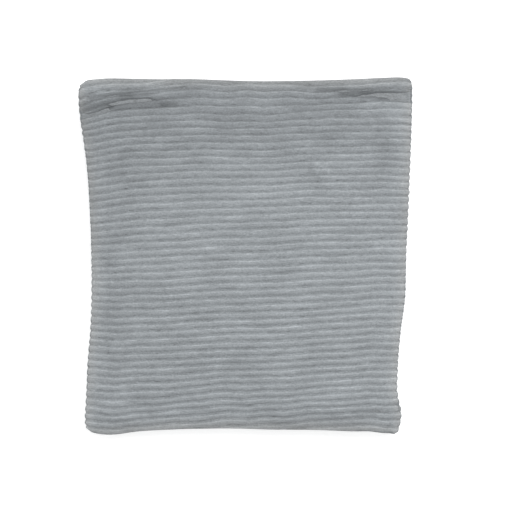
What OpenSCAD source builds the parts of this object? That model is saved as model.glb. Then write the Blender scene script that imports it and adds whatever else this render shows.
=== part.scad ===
// Throw cushion lying flat: a ribbed-velour cover, closed by a concealed zip, around a fibre-filled insert.
// X runs along the ribs, Y across them towards the head edge, and Z up through the cushion's thickness.
// The origin is the centre of the underside, which rests on Z = 0. The zip is in the edge at -Y.

/* [Cover] */
// Width between the two head corners, before they are rounded off
cover_w = 456; // [446:2:520]
// Length from the head edge to the zip edge, at the corners
cover_l = 488; // [470:2:560]
// Thickness at the crown
loft = 96; // [80:1:120]
// Height of the edge seam above the underside
seam_z = 34; // [28:1:40]
// Thickness of the ribbed fabric, ribs included
fabric_t = 2.4; // [1.6:0.1:3]

/* [Outline] */
// How far the left edge bows in at its middle
left_bow = 16; // [0:1:18]
// How far the right edge dips in near the zip edge
right_dip = 8; // [0:1:10]
// How far the head edge bows in at its middle
head_bow = 7.5; // [0:0.5:10]
// How far the zip edge bows in at its middle
zip_bow = 10; // [0:0.5:10]
// How far in the left corner at the zip edge stands
left_inset = 8; // [0:1:10]
// How far in the right corner at the zip edge stands
right_inset = 16; // [0:1:16]

/* [Zip] */
// Travel of the slider from closed to open
zip_travel = 340; // [260:1:340]
// Height of the opening between the two folded lips of fabric
lip_gap = 12; // [11:0.5:13]
// Width of one zip tape
tape_w = 9.5; // [8:0.5:10]
// Length of the pull tab from its pivot to its tip
tab_l = 21; // [16:0.5:21]

/* [Insert] */
// How much smaller the insert's outline is than the cover's, on each side
insert_inset = 16; // [16:0.5:19]
// Thickness of the insert's casing
casing_t = 0.8; // [0.5:0.1:1]

/* [Hidden] */

velour = "#9a9ea2";
ticking = "#f2f1ec";
webbing = "#8d9296";
nylon = "#7c8186";
nickel = "#b9bcc0";

// Grid cells from the middle of a surface to its edge.
half_cells = 14;
// Clearance between layers of fabric that lie against each other.
layer_gap = 0.4;
// How full the crown is: 0.5 gives an elliptical section, and less gives fuller edges.
front_fullness = 0.55;
back_fullness = 0.5;
// The underside would hang this far below the floor, and the floor flattens it.
underside_sag = 14;
// How much each corner is rounded off, as a share of the half size, and how tightly.
corner_cut = 0.035;
corner_power = 24;
// Peak of the curve that right_dip scales.
dip_peak = 0.268;
// The share of the zip edge over which the lips part, and how tightly that keeps to the edge.
slit_share = 0.92;
slit_fade = 8;

// Seam allowances, turned in and overlocked.
allowance_w = 9;
allowance_t = 1.4;
insert_allowance_w = 8;
insert_allowance_t = 1.2;
allowance_in = fabric_t + 3 * layer_gap;
// Where the seams end, as shares of a half side.
seam_end = 0.92;
slit_seam_start = 0.952;
slit_seam_end = 0.98;
band_cells = 12;
filling_edge = 3;
filling_gap = 1.5;

// The care label is a folded loop that leans up from the left seam, between the cover and the insert.
label_l = 22;
label_w = 30;
label_t = 0.8;
label_in = 4;
label_lean = 40;
label_y = -150;

// The zip's tapes lie in the plane y = chain_y and its coils face -Y.
zip_recess = 5.5;
chain_y = zip_bow - cover_l / 2 + zip_recess;
tape_t = 0.7;
coil_r = 0.9;
coil_gap = 1.1;
run_gap = 0.3;
stop_l = 3;
stop_w = 3.6;
tack_l = 2;
tack_t = 0.8;
slider_l = 10;
slider_w = 8;
slider_corner_r = 2;
blade_t = 0.9;
post_l = 3;
post_t = 0.7;

// Stations along the zip, which is centred on its edge.
slit_x0 = (left_inset - right_inset) / 2 - zip_travel / 2 - 24;
slit_x1 = (left_inset - right_inset) / 2 + zip_travel / 2 + 24;
closed_x = slit_x1 - tab_l - 1;
top_stop_x = closed_x + slider_l / 2 + run_gap;
bottom_stop_x = closed_x - zip_travel - slider_l / 2 - run_gap;
tape_margin = 3;

// The pull tab's eye turns on a bar that stands off the slider's outer blade.
outer_blade_y = chain_y - 2 * coil_r - run_gap - blade_t;
inner_blade_y = chain_y + tape_t + run_gap;
bar_r = 0.7;
bar_w = 3.2;
bar_post_w = 1.2;
bar_post_l = 1.8;
eye_r = 0.95;
eye_out_r = 1.8;
eye_w = 2.6;
tab_w = 6;
tab_t = 1.2;
tab_corner_r = 2;
tab_shoulder = 3;
pivot_x = closed_x - 1;
pivot_y = outer_blade_y - eye_out_r - run_gap;

function mix(a, b, k) = a + (b - a) * k;

// The four edges of the outline, for s and t from -1 to 1, moved in by d.
function left_edge(t, d) = d - cover_w / 2 + left_inset * (1 - t) / 2 + left_bow * (1 - t * t);
function right_edge(t, d) =
    cover_w / 2 - d - right_inset * (1 - t) / 2
    - right_dip / dip_peak * (1 - t * t) * pow((1 - t) / 2, 4);
function head_edge(s, d) = cover_l / 2 - d - head_bow * (1 - s * s);
function zip_edge(s, d) = d - cover_l / 2 + zip_bow * (1 - s * s);

// A point of the plan at s, t, in an outline moved in by d.
function plan(s, t, d) =
    let (k = 1 - corner_cut * pow(s * t, corner_power))
    [
        k * mix(left_edge(t, d), right_edge(t, d), (s + 1) / 2),
        k * mix(zip_edge(s, d), head_edge(s, d), (t + 1) / 2)
    ];

// 0 at the edge and 1 in the middle.
function swell(s, t) = max(0, (1 - s * s) * (1 - t * t));

// How far the rim of a panel stands off at the zip, where its lip is lip away from the seam's plane.
function parting(s, t, lip) = abs(s) < slit_share ? lip * pow((1 - t) / 2, slit_fade) : 0;

// Heights of the upper and lower surfaces, d under the cover's outside, from a rim at height rim.
function top_z(s, t, d, rim) = rim + (loft - d - rim) * pow(swell(s, t), front_fullness);
function under_z(s, t, d, rim) = max(d, rim - (rim + underside_sag - d) * pow(swell(s, t), back_fullness));

// Grid lines, closer together towards the edges.
lines = 2 * half_cells + 1;
function line(i) = sin(90 * i / half_cells);

// The grid's points on the upper surface, or on the lower one.
function upper(inset, d, rim, lip) = [
    for (j = [-half_cells : half_cells], i = [-half_cells : half_cells])
        let (s = line(i), t = line(j), p = plan(s, t, inset))
        [p[0], p[1], top_z(s, t, d, rim + parting(s, t, lip))]
];
function lower(inset, d, rim, lip) = [
    for (j = [-half_cells : half_cells], i = [-half_cells : half_cells])
        let (s = line(i), t = line(j), p = plan(s, t, inset))
        [p[0], p[1], under_z(s, t, d, rim - parting(s, t, lip))]
];

// Triangles of one grid whose first point has the index start.
function grid_faces(start, faces_up) = [
    for (j = [0 : lines - 2], i = [0 : lines - 2], half = [0, 1])
        let (
            a = start + j * lines + i,
            far = a + lines + 1,
            f = half == 0 ? [a, a + 1, far] : [a, far, a + lines]
        )
        faces_up ? [f[2], f[1], f[0]] : f
];

// Indices of a grid's outer points, in order round the edge.
function rim_ring(start) = concat(
    [for (i = [0 : lines - 2]) start + i],
    [for (j = [0 : lines - 2]) start + j * lines + lines - 1],
    [for (i = [lines - 1 : -1 : 1]) start + (lines - 1) * lines + i],
    [for (j = [lines - 1 : -1 : 1]) start + j * lines]
);

// Triangles that join the rims of two grids.
function wall_faces(over, under) =
    let (a = rim_ring(over), b = rim_ring(under), n = len(a))
    [
        for (i = [0 : n - 1], half = [0, 1])
            let (j = (i + 1) % n)
            half == 0 ? [a[i], a[j], b[j]] : [a[i], b[j], b[i]]
    ];

// A closed solid between an upper and a lower grid of points.
module between(over, under) {
    n = len(over);
    polyhedron(
        points = concat(over, under),
        faces = concat(grid_faces(0, true), grid_faces(n, false), wall_faces(0, n))
    );
}

// Domed shells, t thick, whose outside lies d under the cover's and starts inset within its outline.
module upper_shell(inset, d, t, lip) {
    rim = seam_z + layer_gap / 2;
    between(upper(inset, d, rim, lip), upper(inset + t, d + t, rim, lip));
}

module lower_shell(inset, d, t, lip) {
    rim = seam_z - layer_gap / 2;
    between(lower(inset + t, d + t, rim, lip), lower(inset, d, rim, lip));
}

// A block between two opposite corners.
module block(a, b) {
    translate(a)
        cube(b - a);
}

module cover_front() {
    color(velour)
        upper_shell(0, 0, fabric_t, lip_gap / 2);
}

module cover_back() {
    color(velour)
        lower_shell(0, 0, fabric_t, lip_gap / 2);
}

// A ring of four points where a flat band's section is cut: its outer and inner points, at two heights.
function section_ring(outer, inner, z, t) = [
    [outer[0], outer[1], z - t / 2],
    [inner[0], inner[1], z - t / 2],
    [inner[0], inner[1], z + t / 2],
    [outer[0], outer[1], z + t / 2]
];

// Faces between ring k and ring m of a band.
function ring_faces(k, m) = [
    for (i = [0 : 3])
        let (j = (i + 1) % 4)
        [4 * k + i, 4 * m + i, 4 * m + j, 4 * k + j]
];

// A band with two ends, through a list of [outer, inner] pairs of points.
module open_band(pairs, z, t) {
    last = len(pairs) - 1;
    polyhedron(
        points = [for (p = pairs) each section_ring(p[0], p[1], z, t)],
        faces = concat(
            [[0, 1, 2, 3]],
            [for (k = [0 : last - 1]) each ring_faces(k, k + 1)],
            [[4 * last + 3, 4 * last + 2, 4 * last + 1, 4 * last]]
        )
    );
}

// Places from a to b for a band's rings.
function stations(a, b) = [for (k = [0 : band_cells]) mix(a, b, k / band_cells)];

// The section of a turned-in seam allowance at s, t on the outline, as an [outer, inner] pair.
function allowance(s, t) = [plan(s, t, allowance_in), plan(s, t, allowance_in + allowance_w)];

module seam_left() {
    color(velour)
        open_band([for (t = stations(-seam_end, seam_end)) allowance(-1, t)], seam_z, allowance_t);
}

module seam_right() {
    color(velour)
        open_band([for (t = stations(seam_end, -seam_end)) allowance(1, t)], seam_z, allowance_t);
}

module seam_head() {
    color(velour)
        open_band([for (s = stations(-seam_end, seam_end)) allowance(s, 1)], seam_z, allowance_t);
}

// The stretches of the zip edge's seam between a corner and the end of the slit.
module seam_zip_edge_left() {
    color(velour)
        open_band([for (s = stations(-slit_seam_start, -slit_seam_end)) allowance(s, -1)], seam_z, allowance_t);
}

module seam_zip_edge_right() {
    color(velour)
        open_band([for (s = stations(slit_seam_end, slit_seam_start)) allowance(s, -1)], seam_z, allowance_t);
}

module care_label() {
    x = left_edge((label_y + label_w) / (cover_l / 2), allowance_in + label_in);
    color(ticking)
        translate([x, label_y, seam_z + allowance_t / 2 + layer_gap])
            rotate([0, -label_lean, 0])
                cube([label_l, label_w, label_t]);
}

// One tape: side is 1 for the tape sewn to the front panel and -1 for the back panel's.
module zip_tape(side) {
    near = seam_z + side * coil_gap / 2;
    far = near + side * tape_w;
    color(webbing)
        block(
            [slit_x0 + tape_margin, chain_y, min(near, far)],
            [slit_x1 - tape_margin, chain_y + tape_t, max(near, far)]
        );
}

module zip_tape_front() {
    zip_tape(1);
}

module zip_tape_back() {
    zip_tape(-1);
}

function coil_z(side) = seam_z + side * (coil_gap / 2 + coil_r);

// One coil, drawn as the rod that it fills, lying on its tape.
module zip_coil(side) {
    color(nylon)
        translate([bottom_stop_x, chain_y - coil_r, coil_z(side)])
            rotate([0, 90, 0])
                cylinder(h = top_stop_x - bottom_stop_x, r = coil_r, $fn = 32);
}

module zip_coil_front() {
    zip_coil(1);
}

module zip_coil_back() {
    zip_coil(-1);
}

// A stop pressed onto one tape past the coil's end.
module zip_top_stop(side) {
    near = seam_z + side * coil_gap / 2;
    far = near + side * stop_w;
    color(nickel)
        block(
            [top_stop_x, chain_y - 2 * coil_r, min(near, far)],
            [top_stop_x + stop_l, chain_y, max(near, far)]
        );
}

module zip_top_stop_front() {
    zip_top_stop(1);
}

module zip_top_stop_back() {
    zip_top_stop(-1);
}

module zip_bottom_stop() {
    color(nickel)
        block(
            [bottom_stop_x - stop_l, chain_y - 2 * coil_r, seam_z - stop_w],
            [bottom_stop_x, chain_y, seam_z + stop_w]
        );
}

// Dense stitches over both tapes, next to the fabric where the lips end.
module bar_tack(x) {
    color(velour)
        block(
            [x, chain_y - tack_t, seam_z - lip_gap / 2],
            [x + tack_l, chain_y, seam_z + lip_gap / 2]
        );
}

module zip_bar_tack_left() {
    bar_tack(slit_x0 + tape_margin);
}

module zip_bar_tack_right() {
    bar_tack(slit_x1 - tape_margin - tack_l);
}

// A rectangle with round corners.
module rounded(w, h, r) {
    square([w - 2 * r, h], center = true);
    square([w, h - 2 * r], center = true);
    for (x = [-1, 1], y = [-1, 1])
        translate([x * (w / 2 - r), y * (h / 2 - r)])
            circle(r, $fn = 32);
}

// A 2D shape stood up in the X-Z plane, t thick, with its outer face at y.
module upright(y, t) {
    translate([0, y + t, 0])
        rotate([90, 0, 0])
            linear_extrude(t)
                children();
}

module slider_blade(y) {
    upright(y, blade_t)
        translate([closed_x, seam_z])
            rounded(slider_l, slider_w, slider_corner_r);
}

module zip_slider() {
    color(nickel) {
        slider_blade(outer_blade_y);
        slider_blade(inner_blade_y);
        // The post that parts the coils, at the closing end.
        block(
            [closed_x + slider_l / 2 - post_l - 1, outer_blade_y, seam_z - post_t / 2],
            [closed_x + slider_l / 2 - 1, inner_blade_y + blade_t, seam_z + post_t / 2]
        );
        // The bar that the pull tab swings on, and its two posts.
        translate([pivot_x, pivot_y, seam_z - bar_w / 2 - bar_post_w])
            cylinder(h = bar_w + 2 * bar_post_w, r = bar_r, $fn = 32);
        for (side = [-1, 1])
            block(
                [pivot_x - bar_post_l / 2, pivot_y, seam_z + side * (bar_w + bar_post_w) / 2 - bar_post_w / 2],
                [
                    pivot_x + bar_post_l / 2, outer_blade_y + blade_t / 2,
                    seam_z + side * (bar_w + bar_post_w) / 2 + bar_post_w / 2
                ]
            );
    }
}

module zip_pull_tab() {
    plate_l = tab_l - tab_shoulder;
    color(nickel)
        difference() {
            union() {
                translate([pivot_x, pivot_y, seam_z - eye_w / 2])
                    cylinder(h = eye_w, r = eye_out_r, $fn = 48);
                block(
                    [pivot_x - tab_shoulder - 1, pivot_y - tab_t / 2, seam_z - eye_w / 2],
                    [pivot_x, pivot_y + tab_t / 2, seam_z + eye_w / 2]
                );
                upright(pivot_y - tab_t / 2, tab_t)
                    translate([pivot_x - tab_shoulder - plate_l / 2, seam_z])
                        rounded(plate_l, tab_w, tab_corner_r);
            }
            translate([pivot_x, pivot_y, seam_z - eye_w])
                cylinder(h = 2 * eye_w, r = eye_r, $fn = 48);
        }
}

// How far the insert's casing and its filling lie under the outside of the cover.
casing_d = fabric_t + layer_gap;
filling_d = casing_d + casing_t + filling_gap;

module insert_front() {
    color(ticking)
        upper_shell(insert_inset, casing_d, casing_t, 0);
}

module insert_back() {
    color(ticking)
        lower_shell(insert_inset, casing_d, casing_t, 0);
}

// The outline's points in order round the edge, each as [s, t].
function outline() = concat(
    [for (i = [-half_cells : half_cells - 1]) [line(i), -1]],
    [for (j = [-half_cells : half_cells - 1]) [1, line(j)]],
    [for (i = [half_cells : -1 : 1 - half_cells]) [line(i), 1]],
    [for (j = [half_cells : -1 : 1 - half_cells]) [-1, line(j)]]
);

module insert_seam() {
    ring = outline();
    n = len(ring);
    outer = insert_inset + casing_t + layer_gap;
    color(ticking)
        polyhedron(
            points = [
                for (p = ring)
                    each section_ring(
                        plan(p[0], p[1], outer),
                        plan(p[0], p[1], outer + insert_allowance_w),
                        seam_z,
                        insert_allowance_t
                    )
            ],
            faces = [for (k = [0 : n - 1]) each ring_faces((k + 1) % n, k)]
        );
}

module insert_filling() {
    inset = insert_inset + casing_t + insert_allowance_w + 2 * layer_gap;
    color("white")
        between(
            upper(inset, filling_d, seam_z + filling_edge, 0),
            lower(inset, filling_d, seam_z - filling_edge, 0)
        );
}

cover_front();
cover_back();
seam_left();
seam_right();
seam_head();
seam_zip_edge_left();
seam_zip_edge_right();
care_label();
zip_tape_front();
zip_tape_back();
zip_coil_front();
zip_coil_back();
zip_top_stop_front();
zip_top_stop_back();
zip_bottom_stop();
zip_bar_tack_left();
zip_bar_tack_right();
zip_slider();
zip_pull_tab();
insert_front();
insert_back();
insert_seam();
insert_filling();
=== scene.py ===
"""The looks of a throw cushion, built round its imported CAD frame.

A ribbed velour cover with a zip holds an insert with its filling. Everything is in metres: X runs along
the ribs, Y towards the head edge and Z up. A place on a panel is given by s and t, from -1 to 1 along X
and Y, and by how far it is moved in from the outline.
"""

import math

import bmesh
import bpy
import numpy as np
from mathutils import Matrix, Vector


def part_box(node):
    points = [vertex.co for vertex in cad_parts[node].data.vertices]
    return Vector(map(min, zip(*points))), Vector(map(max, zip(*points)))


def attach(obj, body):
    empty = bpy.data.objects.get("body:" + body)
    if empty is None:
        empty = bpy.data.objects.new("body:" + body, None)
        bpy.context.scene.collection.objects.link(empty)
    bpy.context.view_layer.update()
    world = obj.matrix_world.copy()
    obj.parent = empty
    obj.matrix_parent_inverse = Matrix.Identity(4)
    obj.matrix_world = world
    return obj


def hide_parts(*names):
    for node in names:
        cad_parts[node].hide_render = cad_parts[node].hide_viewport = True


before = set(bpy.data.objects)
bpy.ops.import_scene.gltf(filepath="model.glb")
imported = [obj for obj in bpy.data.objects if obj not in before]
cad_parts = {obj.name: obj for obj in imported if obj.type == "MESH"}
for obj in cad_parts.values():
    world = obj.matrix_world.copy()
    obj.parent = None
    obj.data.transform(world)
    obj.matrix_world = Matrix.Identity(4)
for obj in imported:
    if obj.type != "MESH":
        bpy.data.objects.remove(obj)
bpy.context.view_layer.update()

# ---- sizes, as in the CAD

cover_w = 0.456
cover_l = 0.488
left_bow = 0.016
left_inset = 0.008
right_inset = 0.016
right_dip = 0.008
dip_peak = 0.268
head_bow = 0.0075
zip_bow = 0.010
corner_cut = 0.035
corner_power = 24
fabric_t = 0.0024
layer_gap = 0.0004
lip_gap = 0.012
slit_share = 0.92
slit_fade = 8
underside_sag = 0.014
insert_inset = 0.017
casing_t = 0.0008
filling_gap = 0.0015

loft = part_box("cover_front")[1].z
seam_z = sum(corner.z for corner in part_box("seam_left")) / 2
chain_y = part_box("zip_tape_front")[0].y

# ---- sizes of the soft detail

rib_count = 48
rows_per_rib = 12
panel_columns = 104
rib_relief = 0.0018
rib_roundness = 0.72
rib_pitch = cover_l / rib_count
# How much of a rib's height is left at a seam, and how far from the seam that reaches.
seam_relief_share = 0.5
seam_reach = 0.014
bulge_reach = 0.0014
bulge_fade = 0.004
warm_reach = 0.012
field_waves = 14
# Random fields: how far the ribs waver, how their height varies, and how mottled the pile is.
WAVER = [(0.00022, 0.02, 7, 4), (0.00018, 0.008, 8, 2), (0.0003, 0.06, 9, 2)]
UNEVEN = [(0.1, 0.03, 11, 3), (0.08, 0.01, 12, 3)]
MOTTLE = [(0.016, 0.07, 71, 1.5), (0.018, 0.035, 72, 2), (0.022, 0.02, 73, 3)]


# ---- small tools for grids

def mix(a, b, k):
    return a + (b - a) * k


def ramp(x, start, end):
    """0 before start, 1 after end, and a smooth turn between."""
    k = np.clip((x - start) / (end - start), 0, 1)
    return k * k * (3 - 2 * k)


def bell(x, width):
    return np.exp(-((x / width) ** 2))


def xyz(x, y, z):
    """Points with these coordinates, each of them an array or a number."""
    return np.stack(np.broadcast_arrays(x, y, z), -1)


def wander(x, y, wavelength, seed, stretch=1.0):
    """A smooth random field with a spread of about 1. stretch lengthens its features along X."""
    rng = np.random.default_rng(seed)
    total = np.zeros(np.broadcast(x, y).shape)
    for _ in range(field_waves):
        angle = rng.uniform(0, 2 * math.pi)
        pace = 2 * math.pi / wavelength * rng.uniform(0.6, 1.5)
        phase = rng.uniform(0, 2 * math.pi)
        total += np.sin(pace * (math.cos(angle) * x / stretch + math.sin(angle) * y) + phase)
    return total * math.sqrt(2 / field_waves)


def wanders(x, y, fields):
    """Random fields added up: the strength, wavelength, seed and stretch of each."""
    return sum(k * wander(x, y, size, seed, stretch) for k, size, seed, stretch in fields)


def spline_weights(count, at):
    """Weights that read a smooth curve through count even values at places from -1 to 1."""
    x = (at + 1) / 2 * (count - 1)
    first = np.clip(np.floor(x).astype(int), 0, count - 2)
    f = x - first
    basis = [(1 - f) ** 3, 3 * f**3 - 6 * f**2 + 4, -3 * f**3 + 3 * f**2 + 3 * f + 1, f**3]
    weights = np.zeros((len(at), count + 2))
    for k, share in enumerate(basis):
        weights[np.arange(len(at)), first + k] += share / 6
    # The values past both ends go on in a straight line.
    weights[:, 1] += 2 * weights[:, 0]
    weights[:, 2] -= weights[:, 0]
    weights[:, -2] += 2 * weights[:, -1]
    weights[:, -3] -= weights[:, -1]
    return weights[:, 1:-1]


def above_edges(grid):
    """How far a grid of points stands off the surface ruled between its four edges."""
    for axis in (0, 1):
        lines = np.moveaxis(grid, axis, 0)
        k = np.linspace(0, 1, len(lines))[:, None, None]
        grid = np.moveaxis(lines - mix(lines[:1], lines[-1:], k), 0, axis)
    return grid


def normals_of(points):
    """Unit normals of a grid of points, on the side where X times Y points."""
    along_s = np.gradient(points, axis=1)
    along_t = np.gradient(points, axis=0)
    n = np.cross(along_s, along_t)
    return n / np.linalg.norm(n, axis=2, keepdims=True)


# ---- the outline

# Where use has pulled the seams out of line: the place along the edge, its reach and how far.
SEAM_PULLS = {
    "left": [(0.78, 0.17, 0.0028), (-0.6, 0.17, 0.0018)],
    "right": [(-0.23, 0.16, 0.0028), (-0.88, 0.08, 0.0045)],
    "head": [(-0.3, 0.25, 0.0024), (-0.95, 0.12, -0.003)],
    "zip": [(-0.8, 0.1, 0.0024), (0.2, 0.2, 0.0016), (0.8, 0.08, -0.0018)],
}
# The head edge's right corner is turned out more sharply than the others.
sharp_share = 0.45
# The corner at the zip's closed end is pulled out into a small ear.
ear_out = 0.005
ear_reach = 0.05


def pulled(edge, along):
    """How far out an edge is pulled, at places along it."""
    return sum(far * bell(along - at, reach) for at, reach, far in SEAM_PULLS[edge])


def plan(s, t, d):
    """X and Y of places on the plan, with the outline moved in by d."""
    left = d - cover_w / 2 + left_inset * (1 - t) / 2 + left_bow * (1 - t * t)
    dip = right_dip / dip_peak * (1 - t * t) * ((1 - t) / 2) ** 4
    right = cover_w / 2 - d - right_inset * (1 - t) / 2 - dip
    low = d - cover_l / 2 + zip_bow * (1 - s * s)
    high = cover_l / 2 - d - head_bow * (1 - s * s)
    # The insert doesn't follow the pulls.
    pull = 1 - ramp(d, 0, insert_inset)
    left = left - pull * pulled("left", t)
    right = right + pull * pulled("right", t)
    high = high + pull * pulled("head", s)
    low = low - pull * pulled("zip", s)
    cut = corner_cut * (1 - sharp_share * ramp(s, 0, 1) * ramp(t, 0, 1))
    k = 1 - cut * np.abs(s * t) ** corner_power
    x = k * mix(left, right, (s + 1) / 2)
    y = k * mix(low, high, (t + 1) / 2)
    return x, y - ear_out * bell(s - 1, ear_reach) * bell(t + 1, ear_reach)


# ---- the cushion's swelling, by cloth simulation

cell = 0.008
sim_w = 0.460
sim_l = 0.492
sim_start_h = 0.020
sim_frames = 24
# How much the filling's pressure gathers in the middle.
sim_focus = 1.5
CLOTH = {
    "quality": 6,
    "mass": 0.3,
    "tension_stiffness": 20,
    "compression_stiffness": 20,
    "shear_stiffness": 10,
    "bending_stiffness": 10,
    "air_damping": 3,
    "use_pressure": True,
    "uniform_pressure_force": 2.6,
    "vertex_group_pressure": "filling",
}


def mesh_of(name, points, faces):
    mesh = bpy.data.meshes.new(name)
    mesh.from_pydata(np.asarray(points).reshape(-1, 3).tolist(), [], faces)
    return mesh


def linked(name, data):
    """A new object in the scene."""
    obj = bpy.data.objects.new(name, data)
    bpy.context.scene.collection.objects.link(obj)
    return obj


def quads(ids):
    """The faces of a grid of point indices."""
    corners = [ids[:-1, :-1], ids[:-1, 1:], ids[1:, 1:], ids[1:, :-1]]
    return np.stack([c.ravel() for c in corners], -1).tolist()


def sewn_panels():
    """The mesh of two flat panels that share their edge, and each one's grid of indices."""
    columns = int(round(sim_w / cell)) + 1
    rows = int(round(sim_l / cell)) + 1
    u, v = np.meshgrid(np.linspace(-1, 1, columns), np.linspace(-1, 1, rows))
    middle = (1 - u**2) * (1 - v**2)
    # The panels start slightly apart.
    front = xyz(u * sim_w / 2, v * sim_l / 2, sim_start_h * np.sqrt(middle))
    back = front * (1, 1, -1)
    front_ids = np.arange(rows * columns).reshape(rows, columns)
    back_ids = front_ids.copy()
    own_ids = back_ids[1:-1, 1:-1]
    own_ids[:] = front_ids.size + np.arange(own_ids.size).reshape(own_ids.shape)
    points = np.concatenate([front.reshape(-1, 3), back[1:-1, 1:-1].reshape(-1, 3)])
    weights = np.concatenate([middle.ravel(), middle[1:-1, 1:-1].ravel()]) ** sim_focus
    faces = quads(front_ids) + quads(back_ids[:, ::-1])
    return points, faces, weights, front_ids, back_ids


def blow_up():
    """The panels' points after the filling has swelled them, as two grids."""
    points, faces, weights, front_ids, back_ids = sewn_panels()
    obj = linked("swelling", mesh_of("swelling", points, faces))
    group = obj.vertex_groups.new(name=CLOTH["vertex_group_pressure"])
    for index, weight in enumerate(weights):
        group.add([index], float(weight), "REPLACE")
    cloth = obj.modifiers.new("cloth", "CLOTH")
    for key, value in CLOTH.items():
        setattr(cloth.settings, key, value)
    cloth.settings.effector_weights.gravity = 0
    cloth.collision_settings.use_collision = False
    cloth.point_cache.frame_start = 1
    cloth.point_cache.frame_end = sim_frames
    scene = bpy.context.scene
    scene.frame_start = 1
    scene.frame_end = sim_frames
    for f in range(1, sim_frames + 1):
        scene.frame_set(f)
    swollen = obj.evaluated_get(bpy.context.evaluated_depsgraph_get()).to_mesh()
    co = np.empty(len(swollen.vertices) * 3)
    swollen.vertices.foreach_get("co", co)
    co = co.reshape(-1, 3)
    grids = co[front_ids], co[back_ids]
    bpy.data.objects.remove(obj)
    scene.frame_set(1)
    return grids


def swelling_of(grid, side):
    """A grid of how far a panel's points slide in plan, and their height as a share of the crown's."""
    risen = above_edges(grid)
    risen[..., 2] = np.maximum(side * risen[..., 2], 0)
    risen[..., 2] /= risen[..., 2].max()
    return risen


def read(grid, s, t):
    """A grid's values at every pair of t and s."""
    over_t = spline_weights(grid.shape[0], t)
    over_s = spline_weights(grid.shape[1], s)
    return np.stack([over_t @ grid[..., k] @ over_s.T for k in range(3)], -1)


FRONT = 1
BACK = -1
SIDES = {"front": FRONT, "back": BACK}
SWELLING = {side: swelling_of(grid, side) for side, grid in zip(SIDES.values(), blow_up())}
height_power = {FRONT: 1.3, BACK: 0.85}
# How much of a plain dome is mixed in, as the filling has settled.
dome_share = {FRONT: 0.7, BACK: 0.0}
floor_softness = 0.004


def parting(s, t):
    """How far a panel's rim stands off the seam's plane along the zip."""
    open_here = 1 - ramp(np.abs(s), slit_share - 0.045, slit_share + 0.020)
    return lip_gap / 2 * open_here * ((1 - t) / 2) ** slit_fade


def layer(side, s, t, inset, depth, rim_gap=layer_gap / 2, lips=False):
    """A grid of points on a layer of the cushion: rows follow t and columns s.

    inset moves its outline in, and depth is how far it lies under the cover's outside. Its rim is
    rim_gap off the seam's plane, and lips parts it along the zip.
    """
    swelling = read(SWELLING[side], s, t)
    height = np.clip(swelling[..., 2], 0, None) ** height_power[side]
    across, along = np.meshgrid(s, t)
    dome = np.clip((1 - across**2) * (1 - along**2), 0, 1)
    height = mix(height, dome, dome_share[side])
    x, y = plan(across, along, inset)
    rim = seam_z + side * rim_gap
    if lips:
        rim = rim + side * parting(across, along)
    if side == FRONT:
        z = rim + (loft - depth - rim) * height
    else:
        z = rim - (rim + underside_sag - depth) * height - depth
        # It rests on the floor and lifts off it softly.
        z = depth + (z + np.sqrt(z * z + floor_softness**2)) / 2
    return xyz(x + swelling[..., 0], y + swelling[..., 1], z)


# ---- pieces

def add_piece(name, points, faces, material, slot, body="cushion", attributes=None):
    """A mesh object with one material, riding on a body."""
    mesh = mesh_of(name, points, faces)
    mesh.validate()
    mesh.shade_smooth()
    mesh.materials.append(material)
    for key, values in (attributes or {}).items():
        mesh.attributes.new(key, "FLOAT", "POINT").data.foreach_set("value", values.astype(np.float32))
    obj = linked(name, mesh)
    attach(obj, body)
    return obj


def recalculate(obj):
    """Turns a closed piece's faces outwards."""
    bm = bmesh.new()
    bm.from_mesh(obj.data)
    bmesh.ops.recalc_face_normals(bm, faces=bm.faces)
    bm.to_mesh(obj.data)
    bm.free()


def rim_of(ids):
    """A grid's outer indices, in order round its edge."""
    return np.concatenate([ids[0, :-1], ids[:-1, -1], ids[-1, :0:-1], ids[:0:-1, 0]])


def joined_rings(ring_a, ring_b):
    """Quads between two closed rings of the same length."""
    return np.stack([ring_a, np.roll(ring_a, -1), np.roll(ring_b, -1), ring_b], -1).tolist()


# ---- ribs, creases, marks, painted shade and painted highlights of the velour

# The front panel's creases: path, depth, half width, how dark the shade painted along it is, and how far out
# that reaches.
CREASES = [
    ([(-0.221, 0.189), (-0.2, 0.192), (-0.188, 0.197), (-0.172, 0.2055), (-0.158, 0.209), (-0.128, 0.211)],
     0.0023, 0.0046, 0.54, 0.0028),
    ([(-0.215, 0.2), (-0.156, 0.2115)], 0.0, 0.004, 0.33, 0.0095),
    ([(-0.213, 0.214), (-0.186, 0.2165), (-0.167, 0.2185), (-0.152, 0.221), (-0.129, 0.223),
      (-0.081, 0.2275)],
     0.0015, 0.003, 0.32, 0.0024),
    ([(-0.081, 0.2275), (0.06, 0.2245)], 0.0012, 0.003, 0.14, 0.0026),
    ([(-0.1125, 0.2025), (-0.0935, 0.2025)], 0.0004, 0.003, 0.3, 0.004),
    ([(0.07, 0.2265), (0.13, 0.2235)], 0.0004, 0.006, 0.12, 0.005),
    ([(0.1, 0.224), (0.133, 0.223)], 0.0006, 0.004, 0.3, 0.0036),
    ([(0.135, 0.2222), (0.222, 0.221)], 0.0008, 0.005, 0.32, 0.0056),
    ([(0.128, 0.2172), (0.17, 0.2165), (0.226, 0.214)], 0.001, 0.0055, 0.34, 0.0056),
    ([(0.16, 0.2175), (0.226, 0.216)], 0.0006, 0.006, 0.26, 0.006),
    ([(0.18, 0.215), (0.2263, 0.21)], 0.001, 0.004, 0.22, 0.0036),
    ([(-0.186, 0.14), (-0.183, -0.19)], 0.0008, 0.005, 0.03, 0.005),
    ([(0.14, -0.222), (0.205, -0.205)], 0.0014, 0.006, 0.04, 0.006),
]


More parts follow.
